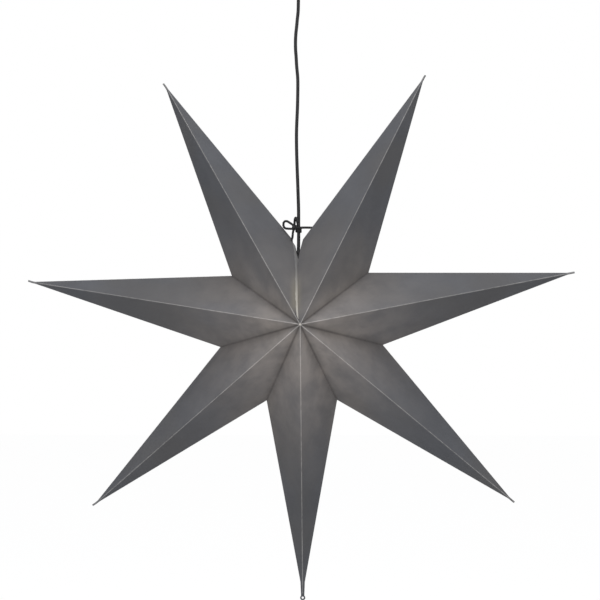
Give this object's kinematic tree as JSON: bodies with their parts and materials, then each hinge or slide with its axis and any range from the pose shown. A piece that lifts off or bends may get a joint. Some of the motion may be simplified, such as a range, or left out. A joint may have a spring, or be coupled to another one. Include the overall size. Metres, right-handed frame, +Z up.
{
  "type": "paper advent star",
  "caption": "Hanging star lampshade folded from dark grey card, with its lamp holder, bulb, cord and ceiling fitting.",
  "frame": {"origin": "centre of the ceiling bracket's top face, midway between its two ceiling screw holes", "axes": "+Z up into the ceiling, +X to the right seen from the front, the star's front faces -Y"},
  "size_m": [0.9821, 0.2572, 1.1867],
  "materials": {
    "card": "matt",
    "eyelet_metal": "satin",
    "tie_thread": "matt",
    "cord_sheath": "satin",
    "black_plastic": "satin",
    "insert_ceramic": "satin",
    "contact_brass": "satin",
    "screw_steel": "satin",
    "wire_insulation": "satin",
    "bulb_frosted": "frosted",
    "block_nylon": "matt",
    "bracket_zinc": "satin"
  },
  "bodies": {
    "root": {"point_upper_right": "card", "point_right": "card", "point_lower_right": "card", "point_bottom": "card", "point_lower_left": "card", "point_left": "card", "point_upper_left": "card", "tip_eyelet": "eyelet_metal", "tie_string": "tie_thread", "mains_cord": "cord_sheath", "cord_grip": "black_plastic", "holder_cap": "black_plastic", "holder_skirt": "black_plastic", "holder_insert": "insert_ceramic", "screw_sleeve": "contact_brass", "centre_contact": "contact_brass", "terminal_screws": "screw_steel", "holder_wires": "wire_insulation", "bulb": "bulb_frosted", "canopy_cup": "black_plastic", "canopy_cord_grip": "black_plastic", "grip_nut": "black_plastic", "ceiling_bracket": "bracket_zinc", "canopy_screws": "screw_steel", "terminal_block": "block_nylon", "block_screws": "contact_brass", "canopy_wires": "wire_insulation"}
  },
  "joints": []
}
